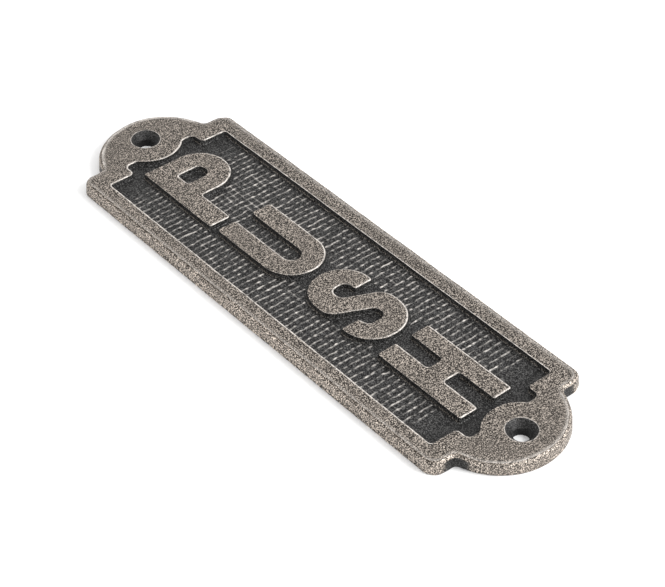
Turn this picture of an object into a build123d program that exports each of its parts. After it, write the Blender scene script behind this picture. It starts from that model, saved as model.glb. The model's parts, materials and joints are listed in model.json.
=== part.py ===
"""Door push sign: a flat-backed metal casting with a sunk, hatched panel and a screw lobe at each end.

Millimetres and degrees. The origin is the centre of the back face, +X is the reader's right,
+Y runs towards the upper end of the sign and +Z comes out of its face.
"""
import os

from build123d import *

# Outline of the casting, seen from the front
plate_length = 174.8
plate_width = 50.8
shoulder_radius = 3.8
lobe_radius = 18.6
lobe_height = 13.7
notch_radius = 1.5

# Section of the casting
plate_thickness = 4.0
side_draft = 3.0
face_edge_radius = 1.1

# Sunk panel inside the raised border
side_border = 5.65
end_border = 6.7
panel_depth = 1.5
panel_draft = 12.0
panel_corner_radius = 0.8
panel_floor_radius = 0.3
panel_rim_chamfer = 0.3

# Each end of the panel: an ear pocket on either side of the round land that carries the screw
ear_width = 23.8
ear_reach = 4.2
ear_radius = 1.7
land_radius = 10.1

# Countersunk screw holes
hole_inset = 9.9
hole_radius = 2.3
countersink_radius = 4.2
countersink_angle = 90.0

# Hatching: low ridges across the floor of the panel
hatch_pitch = 2.0
hatch_height = 0.3
hatch_foot = 1.0
hatch_top = 0.4
hatch_side_margin = 1.4
hatch_end_margin = 5.0

# Places that follow from these sizes
shoulder_y = plate_length / 2 - lobe_height
lobe_y = plate_length / 2 - lobe_radius
hole_y = plate_length / 2 - hole_inset
panel_x = plate_width / 2 - side_border
panel_y = shoulder_y - end_border
ear_x = ear_width / 2
ear_y = panel_y + ear_reach
floor_z = plate_thickness - panel_depth


def at_both_ends(y, shape):
    """The shape on the centre line, once towards each end of the plate."""
    return [Pos(0, side * y) * shape for side in (1, -1)]


def corners_at(sketch, x, y):
    """The sketch corners that lie x and y from its two centre lines."""
    return [v for v in sketch.vertices() if abs(abs(v.X) - x) < 1e-4 and abs(abs(v.Y) - y) < 1e-4]


def half_chord(radius, distance):
    """Half the chord that a circle cuts from a line at this distance from its centre."""
    return (radius**2 - distance**2) ** 0.5


def plate_outline():
    """Round-shouldered body with a round lobe standing out of each end."""
    body = RectangleRounded(plate_width, 2 * shoulder_y, shoulder_radius)
    outline = body + at_both_ends(lobe_y, Circle(lobe_radius))
    notch_x = half_chord(lobe_radius, shoulder_y - lobe_y)
    return fillet(corners_at(outline, notch_x, shoulder_y), notch_radius)


def panel_outline():
    """Long rectangle with ear pockets in its ends and the screw lands left standing in it."""
    outline = Rectangle(2 * panel_x, 2 * panel_y) + Rectangle(ear_width, 2 * ear_y)
    outline -= at_both_ends(hole_y, Circle(land_radius))
    land_x = half_chord(land_radius, hole_y - ear_y)
    outline = fillet(corners_at(outline, ear_x, ear_y), ear_radius)
    outline = fillet(corners_at(outline, land_x, ear_y), ear_radius)
    outline = fillet(corners_at(outline, ear_x, panel_y), panel_corner_radius)
    return fillet(corners_at(outline, panel_x, panel_y), panel_corner_radius)


def hatch_ridges():
    """Low ridges with sloping sides, side by side along the floor of the panel."""
    length = 2 * (panel_x - hatch_side_margin)
    count = int(2 * (panel_y - hatch_end_margin) / hatch_pitch)
    section = make_face(Polyline(
        (-hatch_foot / 2, 0), (hatch_foot / 2, 0), (hatch_top / 2, hatch_height), (-hatch_top / 2, hatch_height),
        close=True))
    ridge = extrude(Plane.YZ * section, length / 2, both=True)
    return [Pos(0, (i - (count - 1) / 2) * hatch_pitch, floor_z) * ridge for i in range(count)]


def sunk_panel():
    """The space inside the border, with drafted walls and a soft corner round its floor."""
    panel = extrude(Pos(0, 0, plate_thickness) * panel_outline(), -panel_depth, taper=panel_draft)
    return fillet(panel.faces().sort_by(Axis.Z)[0].edges(), panel_floor_radius)


def panel_rim():
    """The space over the bevelled rim of the panel, which takes as much off the face as off the drafted wall."""
    opening = Pos(0, 0, plate_thickness) * offset(panel_outline(), panel_rim_chamfer)
    # Deep enough to come out through the wall, into the open panel
    past_wall = 2 * panel_rim_chamfer
    return extrude(opening, -past_wall, taper=45 + panel_draft / 2)


def screw_holes():
    """A countersunk hole through each lobe, sunk from the face."""
    hole = CounterSinkHole(hole_radius, countersink_radius, plate_thickness, countersink_angle)
    return at_both_ends(hole_y, Pos(0, 0, plate_thickness) * hole)


def sign_plate():
    """The whole casting."""
    plate = extrude(plate_outline(), plate_thickness, taper=side_draft)
    plate = fillet(plate.faces().sort_by(Axis.Z)[-1].edges(), face_edge_radius)
    plate -= [sunk_panel(), panel_rim()]
    return plate - screw_holes() + hatch_ridges()


os.makedirs("parts", exist_ok=True)
export_step(sign_plate(), "parts/sign_plate.step")
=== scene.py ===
# %% [markdown]
# # A cast door push sign
# The real sign is one sand casting: a flat-backed plate with a raised border, a sunk panel, block letters
# that stand up from it to the level of the border, and a lobe at each end with a countersunk screw hole.
# It has an antique pewter finish, which is dark in the hollows and rubbed bright on the edges.
#
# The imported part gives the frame: its box, its screw holes and the body that everything rides on. It has
# the plate's main forms, and the casting below repeats them with letters, a woven ground and a sand-cast
# skin.

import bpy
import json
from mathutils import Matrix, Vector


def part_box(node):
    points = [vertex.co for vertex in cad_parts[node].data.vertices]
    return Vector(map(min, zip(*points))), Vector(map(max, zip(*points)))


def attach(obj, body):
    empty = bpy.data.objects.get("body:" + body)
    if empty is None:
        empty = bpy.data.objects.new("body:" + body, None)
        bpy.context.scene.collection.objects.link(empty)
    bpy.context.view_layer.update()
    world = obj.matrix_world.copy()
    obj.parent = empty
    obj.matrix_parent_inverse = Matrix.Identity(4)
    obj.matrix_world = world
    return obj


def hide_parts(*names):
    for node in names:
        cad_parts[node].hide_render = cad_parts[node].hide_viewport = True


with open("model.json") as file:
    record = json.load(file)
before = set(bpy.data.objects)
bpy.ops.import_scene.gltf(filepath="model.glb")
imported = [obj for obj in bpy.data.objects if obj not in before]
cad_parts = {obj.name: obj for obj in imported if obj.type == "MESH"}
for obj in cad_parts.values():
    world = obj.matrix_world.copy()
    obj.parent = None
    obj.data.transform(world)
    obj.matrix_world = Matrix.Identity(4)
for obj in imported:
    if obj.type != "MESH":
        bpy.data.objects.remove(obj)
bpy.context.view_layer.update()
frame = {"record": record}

# %% [markdown]
# ## Sizes
# The overall sizes and the screw holes are read from the frame, so that the casting is exactly as large
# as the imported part. The rest are the plate's own details, written once, in metres. Those of its section
# come later, where they are used. The panel sits a few tenths of a millimetre off centre, as it does in
# the real casting.

# %% Sizes of the plate
import json
import math

import bmesh
import bpy
from mathutils import Matrix, Vector, kdtree, noise

mm = 0.001
plate_low, plate_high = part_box("sign_plate")
half_width = plate_high.x
half_length = plate_high.y
thickness = plate_high.z

mounts = {mount["name"]: mount for mount in frame["record"]["mounts"]}
hole_sizes = mounts["screw_holes"]["dims"]
hole_y = hole_sizes["spacing_y_mm"] / 2 * mm
hole_radius = hole_sizes["hole_r_mm"] * mm

lobe_height = 13.7 * mm
lobe_radius = 18.6 * mm
lobe_y = half_length - lobe_radius
shoulder_y = half_length - lobe_height
shoulder_radius = 3.8 * mm
notch_radius = 1.5 * mm

side_border = 5.2 * mm
end_border = 6.7 * mm
panel_x = half_width - side_border
panel_y = shoulder_y - end_border
panel_corner = 1.2 * mm
panel_shift = Vector((-0.2, -0.4, 0)) * mm
ear_reach = 4.2 * mm
ear_x = 11.9 * mm
ear_y = panel_y + ear_reach
ear_radius = 1.7 * mm
land_radius = 10.1 * mm
print("plate", half_width, half_length, thickness, "holes", hole_y, hole_radius)

# %% [markdown]
# ## Drawing outlines
# An outline could be a long list of points, but a draughtsman thinks in straight runs and arcs. The pen
# below draws that way: a run grows edges from its tip, and an arc spins the tip about a centre. Both go
# in short steps, because the unevenness of the casting needs vertices to move.

# %% A pen that draws outlines in a bmesh
outline_step = 0.55 * mm
arc_step = math.radians(8)
fewest_arc_steps = 4


class Pen:
    """Draws joined straight runs and arcs at one height, leaving a trail of edges."""

    def __init__(self, bm, x, y, z):
        self.bm = bm
        self.tip = bm.verts.new((x, y, z))
        self.first = self.tip

    def run(self, x, y):
        """A straight run to a point, in short steps."""
        start = self.tip.co.copy()
        end = Vector((x, y, start.z))
        steps = max(1, round((end - start).length / outline_step))
        for i in range(steps):
            grown = bmesh.ops.extrude_vert_indiv(self.bm, verts=[self.tip])
            self.tip = grown["verts"][0]
            self.tip.co = start.lerp(end, (i + 1) / steps)

    def arc(self, centre_x, centre_y, end, clockwise=False):
        """An arc about a centre to a heading in degrees, seen from that centre."""
        start = math.atan2(self.tip.co.y - centre_y, self.tip.co.x - centre_x)
        sweep = (math.radians(end) - start) % math.tau
        if clockwise:
            sweep -= math.tau
        radius = math.hypot(self.tip.co.x - centre_x, self.tip.co.y - centre_y)
        length = abs(sweep) * radius
        steps = max(fewest_arc_steps, round(abs(sweep) / arc_step), round(length / outline_step))
        centre = (centre_x, centre_y, self.first.co.z)
        swept = bmesh.ops.spin(self.bm, geom=[self.tip], cent=centre, axis=(0, 0, 1), angle=sweep,
                               steps=steps)
        self.tip = next(part for part in swept["geom_last"] if isinstance(part, bmesh.types.BMVert))


print("pen draws in steps of", outline_step, "and", math.degrees(arc_step), "degrees")

# %% [markdown]
# ## Closing outlines
# A drawn trail is closed by merging its two ends. A symmetrical outline needs only a quarter drawn:
# mirroring it twice makes the rest and merges the joins. The helpers list edges and vertices in the order
# in which they are met, because a Python set would shuffle them, and the mesh would differ a little on
# every run.

# %% Close and mirror a trail of edges
join_distance = 0.01 * mm


def trail(vert):
    """The edges that hang together with a vertex."""
    found = {}
    waiting = [vert]
    while waiting:
        for edge in waiting.pop().link_edges:
            if edge not in found:
                found[edge] = True
                waiting.extend(edge.verts)
    return list(found)


def verts_of(parts):
    """The vertices of some edges or faces, each once."""
    return list(dict.fromkeys(vert for part in parts for vert in part.verts))


def edges_of(faces):
    """The edges of some faces, each once."""
    return list(dict.fromkeys(edge for face in faces for edge in face.edges))


def finish_outline(bm, vert):
    """Merges the ends of the outline through a vertex. Gives the closed loop of edges."""
    verts = verts_of(trail(vert))
    bmesh.ops.remove_doubles(bm, verts=verts, dist=join_distance)
    return trail(next(vert for vert in verts if vert.is_valid))


def mirror_quarter(bm, vert):
    """Turns the quarter outline through a vertex, drawn from +X to +Y, into the whole one."""
    for axis in ("X", "Y"):
        edges = trail(vert)
        parts = edges + verts_of(edges)
        bmesh.ops.mirror(bm, geom=parts, matrix=Matrix.Identity(4), merge_dist=join_distance, axis=axis)
    return finish_outline(bm, vert)


print("ends closer than", join_distance, "are joined")

# %% [markdown]
# ## Outlines of the plate and its panel
# Both are symmetrical about two centre lines, so a quarter of each is drawn and mirrored. Where a
# straight edge meets a circle, as in the notch beside a lobe, a small arc rounds the corner. Its centre
# stands one radius off the edge and one radius off the circle.

# %% Quarter outlines
def corner_x(line_y, circle_y, circle_radius, radius):
    """Where to centre an arc at height line_y so that it just touches the circle on the centre line."""
    return math.sqrt((circle_radius + radius) ** 2 - (line_y - circle_y) ** 2)


notch_y = shoulder_y + notch_radius
notch_x = corner_x(notch_y, lobe_y, lobe_radius, notch_radius)


def draw_plate(bm, z):
    """Body with round shoulders and a round lobe at each end."""
    pen = Pen(bm, half_width, 0, z)
    pen.run(half_width, shoulder_y - shoulder_radius)
    pen.arc(half_width - shoulder_radius, shoulder_y - shoulder_radius, 90)
    pen.run(notch_x, shoulder_y)
    pen.arc(notch_x, notch_y, 180 + math.degrees(math.atan2(notch_y - lobe_y, notch_x)), clockwise=True)
    pen.arc(0, lobe_y, 90)
    return mirror_quarter(bm, pen.first)


def draw_panel(bm, z):
    """Long panel with an ear pocket on either side of the round land that carries the screw."""
    inner_y = ear_y - ear_radius
    inner_x = corner_x(inner_y, hole_y, land_radius, ear_radius)
    pen = Pen(bm, panel_x, 0, z)
    pen.run(panel_x, panel_y - panel_corner)
    pen.arc(panel_x - panel_corner, panel_y - panel_corner, 90)
    pen.run(ear_x + panel_corner, panel_y)
    pen.arc(ear_x + panel_corner, panel_y + panel_corner, 180, clockwise=True)
    pen.run(ear_x, ear_y - ear_radius)
    pen.arc(ear_x - ear_radius, inner_y, 90)
    pen.run(inner_x, ear_y)
    pen.arc(inner_x, inner_y, math.degrees(math.atan2(hole_y - inner_y, -inner_x)))
    pen.arc(0, hole_y, 270, clockwise=True)
    return mirror_quarter(bm, pen.first)


print("notch arcs centred", notch_x, "and", notch_y, "from the centre lines")

# %% [markdown]
# ## The word
# The letters are plain block capitals, one above the other, that tell people which way the door goes. A
# font could draw them, but these have the uneven widths of a pattern cut by hand. So each is a polygon
# with a radius at every corner. A large radius makes the bowl of the P or the bend of the U, and a small
# one is the softness that sand leaves on a corner.

# %% Corners of the letters, as x, y and radius in millimetres
soft = 0.5
inside = 1.2
letter_p = [(-10.1, 64.2, soft), (-10.1, 34.0, soft), (-3.5, 34.0, soft), (-3.5, 46.7, inside),
            (11.15, 46.7, 8.7), (11.15, 64.2, 8.7)]
eye_of_p = [(-3.5, 58.1, inside), (-3.5, 52.75, inside), (4.8, 52.75, 2.6), (4.8, 58.1, 2.6)]
letter_u = [(-9.5, 31.2, inside), (-9.5, 1.8, 8.9), (8.5, 1.8, 8.9), (8.5, 31.3, inside),
            (2.3, 31.3, inside), (2.3, 7.75, 2.8), (-3.4, 7.75, 2.8), (-3.4, 31.2, inside)]
letter_s = [(3.3, -11.1, soft), (9.0, -11.1, soft), (9.0, -1.25, 8.7), (-9.3, -1.25, 9.0),
            (-9.3, -14.6, 4.0), (2.7, -20.7, 2.2), (2.7, -24.7, 2.2), (-3.3, -24.7, 1.8),
            (-4.2, -21.4, soft), (-9.7, -21.4, soft), (-9.7, -31.2, 9.0), (8.95, -31.2, 9.0),
            (8.95, -17.2, 5.0), (-2.5, -11.9, 2.2), (-2.5, -7.5, 2.3), (3.0, -7.5, 2.3)]
letter_h = [(-8.95, -34.5, soft), (-8.95, -64.9, soft), (-3.25, -64.9, soft), (-3.25, -52.5, inside),
            (2.4, -52.5, inside), (2.4, -64.9, soft), (8.15, -64.9, soft), (8.15, -34.5, soft),
            (2.4, -34.5, soft), (2.4, -46.6, inside), (-2.95, -46.6, inside), (-2.95, -34.5, soft)]
letters = [letter_p, letter_u, letter_s, letter_h]
print("letters", [len(letter) for letter in letters], "corners each")


# %% Draw an outline from its corners
def rounded_outline(bm, corners, z):
    """A closed outline through corners of (x, y, radius), in millimetres."""
    points = [Vector((x, y)) * mm for x, y, _ in corners]
    pen = None
    for i, (_, _, radius) in enumerate(corners):
        corner = points[i]
        back = (points[i - 1] - corner).normalized()
        ahead = (points[(i + 1) % len(points)] - corner).normalized()
        half_angle = back.angle(ahead) / 2
        reach = radius * mm / math.tan(half_angle)
        centre = corner + (back + ahead).normalized() * radius * mm / math.sin(half_angle)
        enter = corner + back * reach
        leave = corner + ahead * reach - centre
        if pen is None:
            pen = Pen(bm, enter.x, enter.y, z)
        else:
            pen.run(enter.x, enter.y)
        turns_right = back.x * ahead.y - back.y * ahead.x > 0
        pen.arc(centre.x, centre.y, math.degrees(math.atan2(leave.y, leave.x)), clockwise=turns_right)
    pen.run(pen.first.co.x, pen.first.co.y)
    return finish_outline(bm, pen.first)


print("corners are joined by runs and rounded by arcs")

# %% [markdown]
# ## Relief by small insets
# The edges of a casting have a section: a side that leans so that it leaves the sand, a rounded top edge,
# a soft corner at the foot. Such a section is a path of small steps, inwards and up or down. Insetting a
# flat region once for each step, with that depth, sweeps the section round any outline, however it bends.
#
# Three marks go on the vertices for the finish to read: patina and shade, which is 1 in the dark hollows
# and also carries painted shade on edges and walls, wear and sheen, which is 1 on the edges that hands and
# polishing mops rub bright and also carries a painted highlight on edges that face the lamp, and side,
# which is 1 round the rough outside of the plate and rises towards 2 along the seam of the mould on the
# sides that face away from the lamp, where the seam is painted darker as shade.

# %% Sections and the inset that sweeps them
mark_names = ("patina", "wear", "side")


def straight(inward, rise):
    """One step of a section."""
    return [(inward, rise)]


def turn(radius, start, end, segments):
    """Steps round a bend between two headings in degrees: 0 is inward and level, 90 is straight up."""
    swing = math.radians(end - start) / segments
    chord = 2 * radius * math.sin(abs(swing) / 2)
    headings = [math.radians(start) + swing * (i + 0.5) for i in range(segments)]
    return [(chord * math.cos(heading), chord * math.sin(heading)) for heading in headings]


def sweep_section(bm, region, steps, **marks):
    """Insets a flat region of faces through the steps of a section, and marks the loops that it makes.

    Gives the open edges that the sweep starts from, where there are any.
    """
    start = None
    for inward, rise in steps:
        made = bmesh.ops.inset_region(bm, faces=region, thickness=inward, depth=rise, use_even_offset=True,
                                      use_boundary=True)
        if start is None:
            start = [edge for face in made["faces"] for edge in face.edges if edge.is_boundary]
        for vert in verts_of(region):
            for mark in mark_names:
                vert[bm.verts.layers.float[mark]] = marks.get(mark, 0)
    return start


print("marks on the vertices", mark_names)

# %% [markdown]
# ## Filling between outlines
# A sweep needs a flat region to start from. Triangle fill makes one between any outlines, holes included,
# but it can't tell points apart at this scale, so it works on the loops in millimetres. Its triangles are
# then joined into a few large faces, because an inset could fold a thin triangle over.

# %% Fill closed loops and find the rim of a region
flat_angle = math.radians(5)


def fill(bm, *loops, up=1):
    """Faces between closed loops of edges: the first is the outline and the others are holes in it."""
    outlines = [edge for loop in loops for edge in loop]
    verts = verts_of(outlines)
    bmesh.ops.scale(bm, vec=(1 / mm, 1 / mm, 1 / mm), verts=verts)
    made = bmesh.ops.triangle_fill(bm, use_beauty=True, edges=outlines, normal=(0, 0, up))
    bmesh.ops.scale(bm, vec=(mm, mm, mm), verts=verts)
    triangles = [part for part in made["geom"] if isinstance(part, bmesh.types.BMFace)]
    on_outline = set(outlines)
    inner_edges = [edge for edge in edges_of(triangles) if edge not in on_outline]
    return bmesh.ops.dissolve_limit(bm, angle_limit=flat_angle, verts=[], edges=inner_edges)["region"]


def rim_of(region):
    """The edges round a region of faces."""
    faces = set(region)
    return [edge for edge in edges_of(region) if sum(face in faces for face in edge.link_faces) == 1]


print("faces within", math.degrees(flat_angle), "degrees of each other are joined")

# %% [markdown]
# ## The outside of the plate
# The plate starts as its outline on the back face, swept up its leaning side and over its rounded edge. A
# band of faces inside the edge lets the bright wear and painted highlight there fade out slowly. The insets
# drift a little in height, so the inner rim of the band is set level before its outline is used again.
#
# How worn a loop of vertices looks, with its painted highlight towards the lamp and painted shade away from
# it, depends on the way it faces, which isn't known until the casting is whole. Until then the sweeps leave
# a code above 1 in its mark.

# %% Sweep the side and the edge of the face
side_lean = 0.2 * mm
edge_radius = 1.1 * mm
outer_band = 1.5 * mm
side_angle = math.degrees(math.atan2(thickness - edge_radius, side_lean))

seam = 2
rim_mark = 3
edge_mark = 4
outer_mark = 5
under_mark = 6
wall_mark = 7

casting = bmesh.new()
for mark in mark_names:
    casting.verts.layers.float.new(mark)
patina, wear, side = [casting.verts.layers.float[mark] for mark in mark_names]

plate = fill(casting, draw_plate(casting, 0))
back_loop = sweep_section(casting, plate, straight(side_lean, thickness - edge_radius), side=1)
for vert in verts_of(back_loop):
    vert[side] = 1
sweep_section(casting, plate, turn(edge_radius, side_angle, 45, 4), side=1)
sweep_section(casting, plate, turn(edge_radius, 45, 20, 2), side=seam)
sweep_section(casting, plate, turn(edge_radius, 20, 0, 2), wear=outer_mark)
sweep_section(casting, plate, straight(outer_band, 0))
face_loop = rim_of(plate)
for vert in verts_of(face_loop):
    vert.co.z = thickness
bmesh.ops.delete(casting, geom=plate, context="FACES")
print("outside", len(casting.faces), "faces, open for", len(face_loop), "edges on the face")

# %% [markdown]
# ## Outlines on the face
# The panel and the letters are drawn at the level of the border. They are loops of edges with nothing
# between them yet, because what stays up and what sinks is decided by which loops a fill gets.

# %% Draw the panel and the letters
panel_loop = draw_panel(casting, thickness)
bmesh.ops.translate(casting, verts=verts_of(panel_loop), vec=panel_shift)
letter_loops = [rounded_outline(casting, letter, thickness) for letter in letters]
eye_loop = rounded_outline(casting, eye_of_p, thickness)
print("panel", len(panel_loop), "edges, letters", [len(loop) for loop in letter_loops])

# %% [markdown]
# ## Countersunk holes
# Cutting holes with a Boolean would leave ragged faces round them. Here each hole is a disc swept down: a
# small soft edge, a cone at 45 degrees for the head of a countersunk screw, then straight through to the
# back. The disc that is left is deleted.

# %% Sink the screw holes
countersink_radius = 4.2 * mm
countersink_edge = 0.1 * mm
cone = countersink_radius - hole_radius - countersink_edge
hole_edge_wear = 0.7

hole_bottoms = []
hole_tops = []
for end in (1, -1):
    pen = Pen(casting, countersink_radius, end * hole_y, thickness)
    # Two half turns, because a single arc can't come all the way round
    pen.arc(0, end * hole_y, 179.9)
    pen.arc(0, end * hole_y, 0)
    sink = fill(casting, finish_outline(casting, pen.first))
    hole_tops.append(sweep_section(casting, sink, turn(countersink_edge, 0, -45, 2), patina=0.8))
    for vert in verts_of(hole_tops[-1]):
        vert[wear] = hole_edge_wear
    sweep_section(casting, sink, straight(cone, -cone), patina=0.88)
    sweep_section(casting, sink, straight(0, -min(vert.co.z for vert in verts_of(sink))), patina=1)
    hole_bottoms.append(rim_of(sink))
    bmesh.ops.delete(casting, geom=sink, context="FACES")
print("holes", len(hole_tops), "with cones", cone, "deep")

# %% [markdown]
# ## What stays up and what sinks
# The outlines divide the face into the border and the letters, which stay up, and the ground between
# them, which sinks. The back is filled too. Its band inside the edge keeps the rough finish of the side
# from spreading over the whole back.

# %% Fill the border, the letters, the ground and the back
back_band = 1.2 * mm

raised = fill(casting, face_loop, panel_loop, *hole_tops) + fill(casting, letter_loops[0], eye_loop)
for loop in letter_loops[1:]:
    raised += fill(casting, loop)
ground = fill(casting, panel_loop, *letter_loops) + fill(casting, eye_loop)
back = fill(casting, back_loop, *hole_bottoms, up=-1)
sweep_section(casting, back, straight(back_band, 0), patina=0.3, side=1)
print("raised", len(raised), "faces, ground", len(ground), "and back", len(back))

# %% [markdown]
# ## The walls
# One sweep sinks all the ground at once and so makes the walls of the border and of every letter, just as
# one pattern pressed them all in the sand. The section goes over a soft rim, down a wall that leans 12
# degrees, and round a soft foot. The edge of the flat back is only bevelled a little.

# %% Sink the ground
panel_depth = 1.5 * mm
wall_lean = 12
rim_radius = 0.16 * mm
foot_radius = 0.28 * mm
foot_support = 0.05 * mm
rim_fade_band = 0.48 * mm
back_edge = 0.4 * mm
ground_patina = 0.6

down_wall = wall_lean - 90
rim_turn = turn(rim_radius, 0, -45, 3)
under_rim = turn(rim_radius, -45, down_wall, 2)
foot_turn = turn(foot_radius, down_wall, 0, 3)
wall_drop = panel_depth + sum(rise for _, rise in rim_turn + under_rim + foot_turn)
wall_inward = wall_drop * math.tan(math.radians(wall_lean))

# A band inside every raised face, over which the rims' wear and painted highlight fade out
sweep_section(casting, raised, straight(rim_fade_band, 0))
for vert in verts_of(rim_of(ground)):
    vert[wear] = rim_mark
sweep_section(casting, ground, rim_turn, wear=edge_mark)
sweep_section(casting, ground, under_rim, wear=under_mark)
# The top of each wall is dark like the hollows; the rest is set lighter further down, as painted light
sweep_section(casting, ground, straight(0.2 * wall_inward, -0.2 * wall_drop), patina=0.8)
sweep_section(casting, ground, straight(0.8 * wall_inward, -0.8 * wall_drop), wear=wall_mark)
sweep_section(casting, ground, foot_turn + straight(foot_support, 0), patina=ground_patina)
bmesh.ops.bevel(casting, geom=back_loop, offset=back_edge, offset_type="OFFSET", affect="EDGES",
                segments=3, profile=0.5, material=-1)
print("walls drop", wall_drop, "and lean in", wall_inward)

# %% [markdown]
# ## Patina, wear and painted light
# The edges are rubbed bright, and on top of that the edges that face the lamp get a painted highlight,
# while those that face away get painted shade. Now that the casting is whole, its normals say which way
# each loop faces, and the codes become marks. The side is also darker near the notches beside the lobes.

# %% Turn the codes into marks
# The side of the lamp, seen from above: edges that face it get a painted highlight and edges that face away
# get painted shade
lamp_side = Vector((0.7, -0.7))
notch_centre = Vector((notch_x, notch_y))
border_patina = 0.15
facing_down = -0.9


def ramp(value, low, high):
    """Goes smoothly from 0 to 1 as a value goes from low to high."""
    share = min(max((value - low) / (high - low), 0), 1)
    return share * share * (3 - 2 * share)


casting.normal_update()
for vert in casting.verts:
    facing = vert.normal.xy.normalized()
    toward_lamp = facing.dot(lamp_side)
    on_border = ramp(abs(vert.co.x), panel_x - 1 * mm, panel_x)
    on_lobe = ramp(abs(vert.co.y), shoulder_y, shoulder_y + 3 * mm)
    if vert[wear] == rim_mark:
        # Rims: rubbed bright, with a painted highlight that grows on the side facing the lamp
        vert[wear] = min(0.65 + 0.35 * toward_lamp + 0.5 * on_border, 1)
    elif vert[wear] == outer_mark:
        # Outer edge: rubbed bright, with a painted highlight that is stronger on the lobes
        vert[wear] = 0.48 + (0.2 if vert.co.y > 0 else 0.08) * on_lobe
    elif vert[wear] == edge_mark:
        # Round of the rim: a painted highlight where it faces the lamp, painted shade where it faces away
        vert[wear] = max(toward_lamp, 0)
        vert[patina] = min(max(-1.4 * toward_lamp, 0), 1)
    elif vert[wear] == under_mark:
        # Under the rim: dark patina, with a painted highlight where it faces the lamp
        vert[wear] = max(toward_lamp, 0)
        vert[patina] = 1 - max(toward_lamp, 0)
    elif vert[wear] == wall_mark:
        # Walls: painted lighter than the hollows as painted light, and painted darker where they face the
        # near end, as shade
        vert[wear] = 0
        vert[patina] = 0.16 - 0.4 * min(facing.y, 0)
    if vert[side] == seam:
        # The seam's dark band is painted only where the side faces away from the lamp, as shade
        vert[side] = 1 + max(-facing.x, 0)
    if vert[side] > 0 and vert.normal.z > facing_down and vert.co.z < thickness - 0.7 * edge_radius:
        from_notch = Vector((abs(vert.co.x), abs(vert.co.y))) - notch_centre
        vert[patina] = ground_patina * (1 - ramp(from_notch.length, 2.0 * mm, 4.0 * mm))
    elif vert.co.x > panel_x and vert[side] == 0:
        vert[patina] = max(vert[patina], border_patina)
print("casting", len(casting.verts), "vertices,", len(casting.faces), "faces,", len(ground), "of ground")

# %% [markdown]
# ## The woven ground
# Between the letters the pattern was textured like coarse canvas, so that light doesn't glare off a flat
# ground. A bump map could fake it, but the rows are high enough to catch light and cast shade, so they
# are real. The ground is first sliced into small cells along both directions of the weave.

# %% Slice the ground into cells
row_pitch = 2.0 * mm
column_pitch = 1.95 * mm
cuts_per_row = 8
cuts_per_column = 6
weave_end = 67 * mm
slice_tolerance = 0.0001 * mm


def slice_faces(bm, faces, axis, places):
    """Cuts faces with a row of planes across an axis and gives all the pieces."""
    normal = Vector((0, 0, 0))
    normal[axis] = 1
    done = []
    rest = list(faces)
    for place in places:
        parts = rest + edges_of(rest) + verts_of(rest)
        cut = bmesh.ops.bisect_plane(bm, geom=parts, dist=slice_tolerance, plane_co=normal * place,
                                     plane_no=normal)
        rest = []
        for piece in cut["geom"]:
            if isinstance(piece, bmesh.types.BMFace):
                beyond = piece.calc_center_median()[axis] > place
                (rest if beyond else done).append(piece)
    return done + rest


def grid(half, step):
    """Evenly stepped places either side of zero."""
    count = int(half / step)
    return [i * step for i in range(-count, count + 1)]


cells = slice_faces(casting, ground, 0, grid(panel_x, column_pitch / cuts_per_column))
cells = slice_faces(casting, cells, 1, grid(weave_end, row_pitch / cuts_per_row))
print("ground cells", len(cells))

# %% [markdown]
# ## Where the weave shows
# The pattern maker's tool couldn't reach into the corners: there is little weave in the bays of the
# letters and none close to a wall. A k-d tree finds the nearest point of a wall's foot to any place on
# the ground quickly.

# %% Bays of the letters and feet of the walls
# Each bay is its left, right, low and high in millimetres, and the share of the weave that it shows
bays = [(-3.2, 5.0, 52.9, 58.2, 0), (-2.9, 2.25, 7.75, 31.4, 0.85), (-9.3, 9.3, -24.7, -7.7, 0.1),
        (-2.9, 2.4, -65.2, -34.5, 0.1), (-10.1, -2.9, 31.0, 34.5, 0.1), (-6.0, 6.0, -2.5, 3.0, 0.15),
        (-9.0, 8.5, -36.5, -30.5, 0.15)]


def bay_share(place):
    """How much of the weave shows in a bay of a letter, and all of it elsewhere."""
    for left, right, low, high, share in bays:
        if left * mm < place.x < right * mm and low * mm < place.y < high * mm:
            return share
    return 1


foot_verts = verts_of(rim_of(cells))
wall_feet = kdtree.KDTree(len(foot_verts))
for i, vert in enumerate(foot_verts):
    wall_feet.insert(vert.co, i)
wall_feet.balance()
print("bays", len(bays), "and wall feet", len(foot_verts))

# %% [markdown]
# ## Raising the weave
# The corners of the cells are raised by a formula: rows across the plate and weaker columns along it,
# both swaying and fading a little by slow noise, with a fine mottle over them. The rows break into beads
# where they cross the columns. The tops are rubbed, so the wear of a corner follows its height.

# %% Raise the weave
weave_height = 0.34 * mm
weave_fade = 54 * mm
weave_wear = 0.77
wall_clearance = 0.25 * mm
sway = 0.3 * mm
fray = 0.2 * mm
open_pocket = Vector((7, 40)) * mm


def drift(place, size, seed):
    """Slow noise between -1 and 1 over the plate, with features of a given size."""
    return noise.noise(Vector((place.x / size, place.y / size, seed)))


def crest(distance, pitch):
    """A row of narrow ridges with flat valleys between them."""
    return max(0, math.cos(math.tau * distance / pitch)) ** 2


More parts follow.
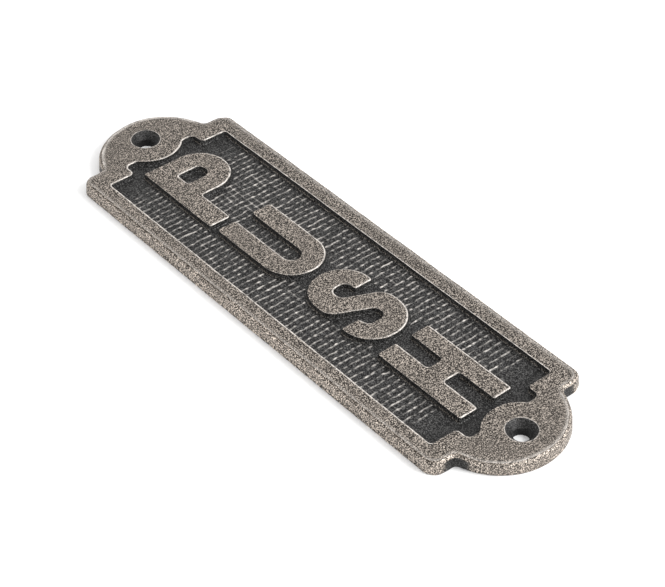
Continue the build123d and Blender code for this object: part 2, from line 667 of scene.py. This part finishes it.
def weave(place):
    """Height of the weave at a place, where a crossing of full strength is a little over 1."""
    row = crest(place.y + sway * drift(place, 4 * mm, 1) + fray * drift(place, 1.8 * mm, 5), row_pitch)
    column = crest(place.x + sway * drift(place, 5 * mm, 2), column_pitch)
    beads = 0.68 + 0.15 * math.cos(math.tau * place.x / column_pitch) + 0.5 * drift(place, 2.2 * mm, 3)
    row *= min(max(beads, 0.15), 1)
    pocket = 0.28 * (1 - ramp((place.xy - open_pocket).length, 4 * mm, 11 * mm))
    column *= min(max(0.25 + pocket + 0.5 * drift(place, 4 * mm, 4), 0), 0.7)
    mottle = 0.4 * max(drift(place, 0.8 * mm, 6), 0)
    return min(max(row, column) + 0.3 * row * column + mottle, 1.1)


for vert in verts_of(cells):
    place = vert.co.copy()
    from_wall = ramp(wall_feet.find(place)[2], 0, wall_clearance)
    from_end = 1 - ramp(abs(place.y), weave_fade, weave_end)
    height = from_wall * from_end * bay_share(place) * weave(place)
    vert.co.z += weave_height * height
    vert[wear] = weave_wear * min(height, 1)
    vert[patina] = ground_patina + 0.25 * ramp(-place.y, 57 * mm, 66 * mm)
print("weave rises to", max(vert.co.z for vert in verts_of(cells)))

# %% [markdown]
# ## The sand-cast skin
# Sand never gives a perfectly flat face or straight edge. A noise field moves every vertex by about a
# tenth of a millimetre, slowly along the plate with a finer ripple on top. Blender seeds this noise from
# the clock unless it is given a seed, so it gets one. The casting strays further in three places: its
# right edge came out crisper than it was drawn, and a stretch of each lobe swells. The back stays flat,
# because it is ground to sit on the door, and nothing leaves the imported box.

# %% Move the vertices
skin_seed = 3
crisp_edge = 0.45 * mm
slow_stray = 0.1 * mm
fine_stray = 0.06 * mm
# Each swelling is its centre and how far the face moves there
swellings = [(Vector((-14, -83)) * mm, Vector((-0.35, -0.3, -0.2)) * mm),
             (Vector((8, 86)) * mm, Vector((0.2, 0.4, 0)) * mm)]


def unevenness(place):
    """How far the skin strays from the drawing at a place."""
    slow = noise.noise_vector(place / (14 * mm)) * slow_stray
    fine = noise.noise_vector(place / (2.2 * mm) + Vector((7, 3, 1))) * fine_stray
    stray = slow + fine
    stray.z *= 0.6 * ramp(place.z, 0.2 * mm, 1.5 * mm)
    stray.x += crisp_edge * ramp(place.x, half_width - 1.8 * mm, half_width - 0.8 * mm)
    for centre, push in swellings:
        near = 1 - ramp((place.xy - centre).length, 4 * mm, 13 * mm)
        stray += push * near * ramp(place.z, 0, 0.8 * thickness)
    return stray


noise.seed_set(skin_seed)
for vert in casting.verts:
    moved = vert.co + unevenness(vert.co)
    vert.co = [min(max(moved[axis], plate_low[axis]), plate_high[axis]) for axis in range(3)]
print("open edges", sum(not edge.is_manifold for edge in casting.edges))

# %% [markdown]
# ## The object
# Smooth shading makes the small steps of the sections look round, while edges that bend sharply stay
# sharp. The finished mesh becomes one object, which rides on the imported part's body and takes the place
# of its plate.

# %% Make the object
sharp_angle = math.radians(38)
for face in casting.faces:
    face.smooth = True
for edge in casting.edges:
    edge.smooth = edge.calc_face_angle(0) < sharp_angle

casting_mesh = bpy.data.meshes.new("push_sign_casting")
casting.to_mesh(casting_mesh)
casting.free()
push_sign = bpy.data.objects.new("push_sign_casting", casting_mesh)
bpy.context.scene.collection.objects.link(push_sign)
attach(push_sign, "root")
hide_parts("sign_plate")
casting_mesh.calc_loop_triangles()
print("casting", len(casting_mesh.loop_triangles), "triangles")

# %% [markdown]
# ## Wiring shaders as formulas
# A finish is easier to read as arithmetic than as a web of nodes. A wire stands for the value at a
# socket, and adding or multiplying wires adds the Math nodes that do it. Every other node comes from one
# method.

# %% A small language for shader nodes
class Wire:
    """A value at a shader socket."""

    def __init__(self, wiring, socket):
        self.wiring = wiring
        self.socket = socket

    def __add__(self, other):
        return self.wiring.maths("ADD", self, other)

    def __sub__(self, other):
        return self.wiring.maths("SUBTRACT", self, other)

    def __mul__(self, other):
        return self.wiring.maths("MULTIPLY", self, other)

    def __rsub__(self, other):
        return self.wiring.maths("SUBTRACT", other, self)

    __radd__ = __add__
    __rmul__ = __mul__

    def between(self, low, high):
        """Goes smoothly from 0 to 1 as this value goes from low to high."""
        settings = {"interpolation_type": "SMOOTHSTEP"}
        return self.wiring.node("MapRange", settings, {"Value": self, "From Min": low, "From Max": high})


class Wiring:
    """A node tree that is being wired."""

    def __init__(self, tree):
        self.tree = tree
        tree.nodes.clear()

    def node(self, kind, settings, sockets, output=0):
        """Adds a node: its settings first, then a value or a wire for each of its sockets."""
        made = self.tree.nodes.new("ShaderNode" + kind)
        for name, value in settings.items():
            setattr(made, name, value)
        for name, value in sockets.items():
            if isinstance(value, Wire):
                self.tree.links.new(value.socket, made.inputs[name])
            else:
                made.inputs[name].default_value = value
        return Wire(self, made.outputs[output]) if made.outputs else None

    def maths(self, operation, first, second):
        """Arithmetic on two values."""
        return self.node("Math", {"operation": operation}, {0: first, 1: second})

    def mix(self, share, first, second):
        """A blend of two colours."""
        return self.node("Mix", {"data_type": "RGBA"}, {0: share, 6: first, 7: second}, output=2)

    def mark(self, name):
        """A mark that was left on the vertices."""
        return self.node("Attribute", {"attribute_name": name}, {}, output="Fac")


def grey(level, warmth=0.0):
    """A near-neutral colour that shows as a level from 0 to 255 on the screen."""
    shown = [level * (1 + warmth), level, level * (1 - warmth)]
    return [(value / 255) ** 2.2 for value in shown] + [1.0]


print("middle grey is", [round(value, 3) for value in grey(128)])

# %% [markdown]
# ## Antique pewter
# The casting is plated and then blackened with a chemical, and the high places are buffed back to metal.
# So the raised faces are a speckled warm grey, with dark pits where the sand left holes. The hollows stay
# blue-black, and the edges are rubbed bright. Over this the finish paints light and shade: a highlight on
# the edges that face the lamp, shade on the edges that face away from it and on walls that face the near
# end, lighter walls below the rims, and a lighter sheen on the rough side of the plate. The marks on the
# vertices say where each belongs.
#
# A photograph wrapped over the plate would carry its own light and shade. Noise on Object coordinates
# gives the same speckle from every side. The lobes came out a little smoother than the rest, so the grain
# is weaker there.

# %% Pewter finish
lobe_grain_from = 66 * mm
lobe_grain_to = 72 * mm


def antique_pewter():
    """The finish of the whole casting."""
    material = bpy.data.materials.new("antique_pewter")
    material.use_nodes = True
    wiring = Wiring(material.node_tree)
    place = wiring.node("TexCoord", {}, {}, output="Object")
    patina = wiring.mark("patina")
    rubbed_and_sheen = wiring.mark("wear")
    side = wiring.mark("side")
    hollow_and_shade = patina.between(0, ground_patina)
    outside = side.between(0, 1)

    def speckle(size, detail, flatten=1.0):
        squeezed = wiring.node("VectorMath", {"operation": "MULTIPLY"}, {0: place, 1: (1, 1, flatten)})
        sockets = {"Vector": squeezed, "Scale": 1 / size, "Detail": detail, "Roughness": 0.6}
        return wiring.node("TexNoise", {}, sockets)

    # Speckle of the plating, from grains to clouds, and the pits
    grain = 0.95 * speckle(0.3 * mm, 0.0) + 0.05 * speckle(0.8 * mm, 1.0)
    along = wiring.node("SeparateXYZ", {}, {"Vector": place}, output="Y")
    lobe = (along * along).between(lobe_grain_from ** 2, lobe_grain_to ** 2)
    fine = 0.49 + 0.02 * lobe + (grain - 0.5) * (2.75 - 0.9 * lobe)
    shade = fine * fine
    flecks = speckle(1.3 * mm, 2.0)
    patches = speckle(2.0 * mm, 2.0).between(0.36, 0.58)
    clouds = speckle(8 * mm, 2.0)
    streaks = speckle(1.4 * mm, 3.0, flatten=2.0)
    pits = 1 - wiring.node("TexVoronoi", {}, {"Vector": place, "Scale": 1 / (1.4 * mm)}).between(0.08, 0.24)

    # Buffed metal, painted lighter on the rough side of the plate as a sheen, and darker along the seam on
    # the sides that face away from the lamp, as painted shade
    metal = wiring.mix(shade, grey(8, 0.06), wiring.mix(outside, grey(198, 0.06), grey(232, 0.06)))
    metal = wiring.mix(clouds.between(0.35, 0.7) * 0.25, metal, grey(100, 0.06))
    metal = wiring.mix(pits * 0.4, metal, grey(50, 0.1))
    seam_shade = side.between(1, seam) * (1 - streaks.between(0.44, 0.6))
    metal = wiring.mix(seam_shade * 0.7, metal, grey(60, 0.12))

    # Blackened hollows, with painted shade on the edges and walls that face away from the lamp, then the
    # bright
    # edges over both: rubbed wear, with a painted highlight on those that face the lamp
    dark = wiring.mix(shade, grey(4, 0.01), grey(93, 0.01))
    dark = wiring.mix(patina.between(0.75, 1.0), dark, grey(26))
    colour = wiring.mix(hollow_and_shade, metal, dark)
    bright = rubbed_and_sheen.between(0.2, 0.9) * (0.42 + 0.58 * patches) * (0.75 + 0.25 * grain.between(0.4, 0.6))
    colour = wiring.mix(bright, colour, grey(240, 0.03))

    relief = grain * 1.2 + flecks * 0.4 - pits * 0.4 + outside * streaks
    normal = wiring.node("Bump", {}, {"Height": relief, "Strength": 0.7, "Distance": 0.12 * mm})
    surface = wiring.node("BsdfPrincipled", {}, {
        "Base Color": colour,
        "Metallic": 0.85 - 0.25 * hollow_and_shade,
        "Roughness": 0.46 + 0.12 * grain,
        "Normal": normal,
    })
    wiring.node("OutputMaterial", {}, {"Surface": surface})
    return material


casting_mesh.materials.append(antique_pewter())
print("finish", casting_mesh.materials[0].name)

# %% [markdown]
# ## The floor
# The sign lies on its back on a white sweep that is lost in the white behind it. A white floor alone
# shows as pale grey, so it also glows a little for the rays that come from the camera or from a mirror-
# like surface. The rays that carry light from the floor to the sign don't see the glow, so it adds no
# light to the casting.

# %% Floor
floor_half_size = 3
floor_gap = 0.05 * mm
glow = grey(70)

floor_bm = bmesh.new()
bmesh.ops.create_grid(floor_bm, x_segments=1, y_segments=1, size=floor_half_size)
floor_mesh = bpy.data.meshes.new("floor")
floor_bm.to_mesh(floor_mesh)
floor_bm.free()
floor = bpy.data.objects.new("floor", floor_mesh)
floor.location.z = plate_low.z - floor_gap
bpy.context.scene.collection.objects.link(floor)

floor_paint = bpy.data.materials.new("white_floor")
floor_paint.use_nodes = True
wiring = Wiring(floor_paint.node_tree)
kinds_of_ray = ("Is Camera Ray", "Is Glossy Ray", "Is Transmission Ray")
seen = sum(wiring.node("LightPath", {}, {}, output=kind) for kind in kinds_of_ray)
paint = wiring.node("BsdfPrincipled", {}, {
    "Base Color": grey(250),
    "Roughness": 0.9,
    "Specular IOR Level": 0.1,
    "Emission Color": wiring.mix(seen.between(0, 1), grey(0), glow),
    "Emission Strength": 1.0,
})
wiring.node("OutputMaterial", {}, {"Surface": paint})
floor_mesh.materials.append(floor_paint)
print("floor at height", floor.location.z)

# %% [markdown]
# ## Light
# A studio lights such a sign with one large soft lamp and white walls. The lamp stands to the right of
# the camera and gives the edges their bright lines, and a plain white world stands for the walls and
# fills the rest.

# %% Room and lamp
world = bpy.data.worlds.new("white_room")
bpy.context.scene.world = world
world.use_nodes = True
wiring = Wiring(world.node_tree)
room = wiring.node("Background", {}, {"Color": (1, 1, 1, 1), "Strength": 1.0})
wiring.node("OutputWorld", {}, {"Surface": room})


def heading(azimuth, elevation):
    """A direction in degrees: azimuth 0 is towards -Y and 90 is towards +X."""
    across = math.cos(math.radians(elevation))
    return Vector((math.sin(math.radians(azimuth)) * across, -math.cos(math.radians(azimuth)) * across,
                   math.sin(math.radians(elevation))))


def soft_lamp(name, azimuth, elevation, distance, size, power):
    """A square lamp that faces the sign from a direction in degrees."""
    light = bpy.data.lights.new(name, "AREA")
    light.size = size
    light.energy = power
    lamp = bpy.data.objects.new(name, light)
    lamp.location = distance * heading(azimuth, elevation)
    lamp.rotation_euler = lamp.location.to_track_quat("Z", "Y").to_euler()
    bpy.context.scene.collection.objects.link(lamp)
    return lamp


key_lamp = soft_lamp("key_lamp", azimuth=33, elevation=40, distance=0.7, size=0.35, power=4.2)
print("lamp at", list(key_lamp.location))

# %% [markdown]
# ## Camera
# The photographer stood to the left of the sign's lower end and looked down on it. A long lens from half
# a metre away keeps the two long sides nearly parallel, as they are in the photograph. The direction,
# distance and lens were fitted to the corners of the panel and the rims of the holes.

# %% Camera
view_target = Vector((-2.655, -9.123, 4.0)) * mm
view_distance = 532.41 * mm
view_azimuth = -39.764
view_elevation = 40.213

camera_data = bpy.data.cameras.new("camera")
camera_data.sensor_width = 36
camera_data.lens = 110.66
camera = bpy.data.objects.new("camera", camera_data)
camera.location = view_target + view_distance * heading(view_azimuth, view_elevation)
camera.rotation_euler = (camera.location - view_target).to_track_quat("Z", "Y").to_euler()
bpy.context.scene.collection.objects.link(camera)
bpy.context.scene.camera = camera
bpy.context.scene.view_settings.view_transform = "Standard"
print("camera at", list(camera.location))
